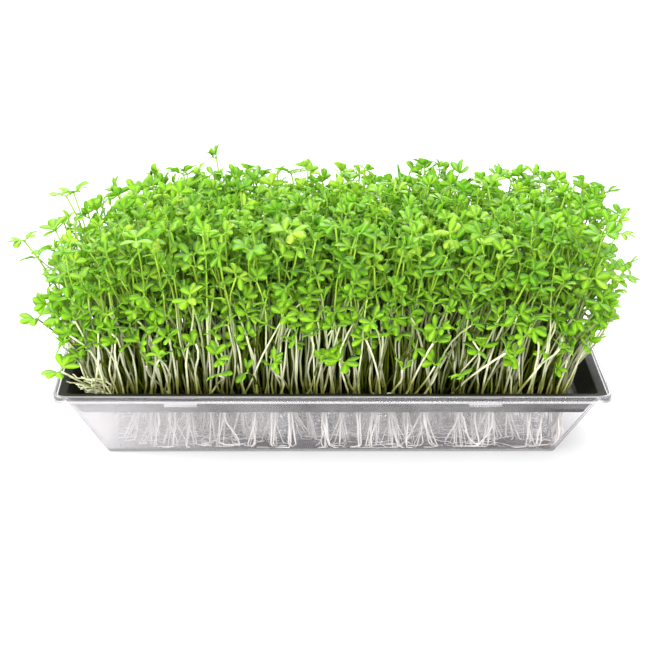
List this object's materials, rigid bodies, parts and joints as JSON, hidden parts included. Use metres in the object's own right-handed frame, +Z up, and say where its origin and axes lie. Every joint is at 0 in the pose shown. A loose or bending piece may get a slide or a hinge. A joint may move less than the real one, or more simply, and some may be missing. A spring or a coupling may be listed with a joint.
{
  "type": "microgreens tray",
  "caption": "Clear tapered tub with a black perforated insert, in which a dense stand of garden cress seedlings grows, roots hanging below.",
  "frame": {"origin": "middle of the tub's flat underside", "axes": "+X along the tray's length, +Y to its rear, +Z up; the front, seen in the picture, faces -Y"},
  "size_m": [0.3118, 0.1518, 0.132],
  "materials": {
    "clear_plastic": "gloss",
    "black_plastic": "satin",
    "seed_hulls": "matte",
    "cress_leaf": "satin",
    "cress_stem": "satin",
    "cress_root": "satin"
  },
  "bodies": {
    "root": {"tub": "clear_plastic", "insert": "black_plastic", "seed_mat": "seed_hulls", "tuft_01": "cress_leaf", "tuft_02": "cress_leaf", "tuft_03": "cress_leaf", "tuft_04": "cress_leaf", "tuft_05": "cress_leaf", "tuft_06": "cress_leaf", "tuft_07": "cress_leaf", "tuft_08": "cress_leaf", "tuft_09": "cress_leaf", "tuft_10": "cress_leaf", "tuft_11": "cress_leaf", "tuft_12": "cress_leaf", "tuft_13": "cress_leaf", "tuft_14": "cress_leaf", "tuft_15": "cress_leaf", "tuft_16": "cress_leaf", "tuft_17": "cress_leaf", "tuft_18": "cress_leaf", "tuft_19": "cress_leaf", "tuft_20": "cress_leaf", "tuft_21": "cress_leaf", "tuft_22": "cress_leaf", "tuft_23": "cress_leaf", "tuft_24": "cress_leaf", "tuft_25": "cress_leaf", "tuft_26": "cress_leaf", "tuft_27": "cress_leaf", "tuft_28": "cress_leaf", "tuft_29": "cress_leaf", "tuft_30": "cress_leaf", "tuft_31": "cress_leaf", "tuft_32": "cress_leaf", "tuft_33": "cress_leaf", "tuft_34": "cress_leaf", "tuft_35": "cress_leaf", "tuft_36": "cress_leaf", "tuft_37": "cress_leaf", "tuft_38": "cress_leaf", "tuft_39": "cress_leaf", "tuft_40": "cress_leaf"}
  },
  "joints": []
}
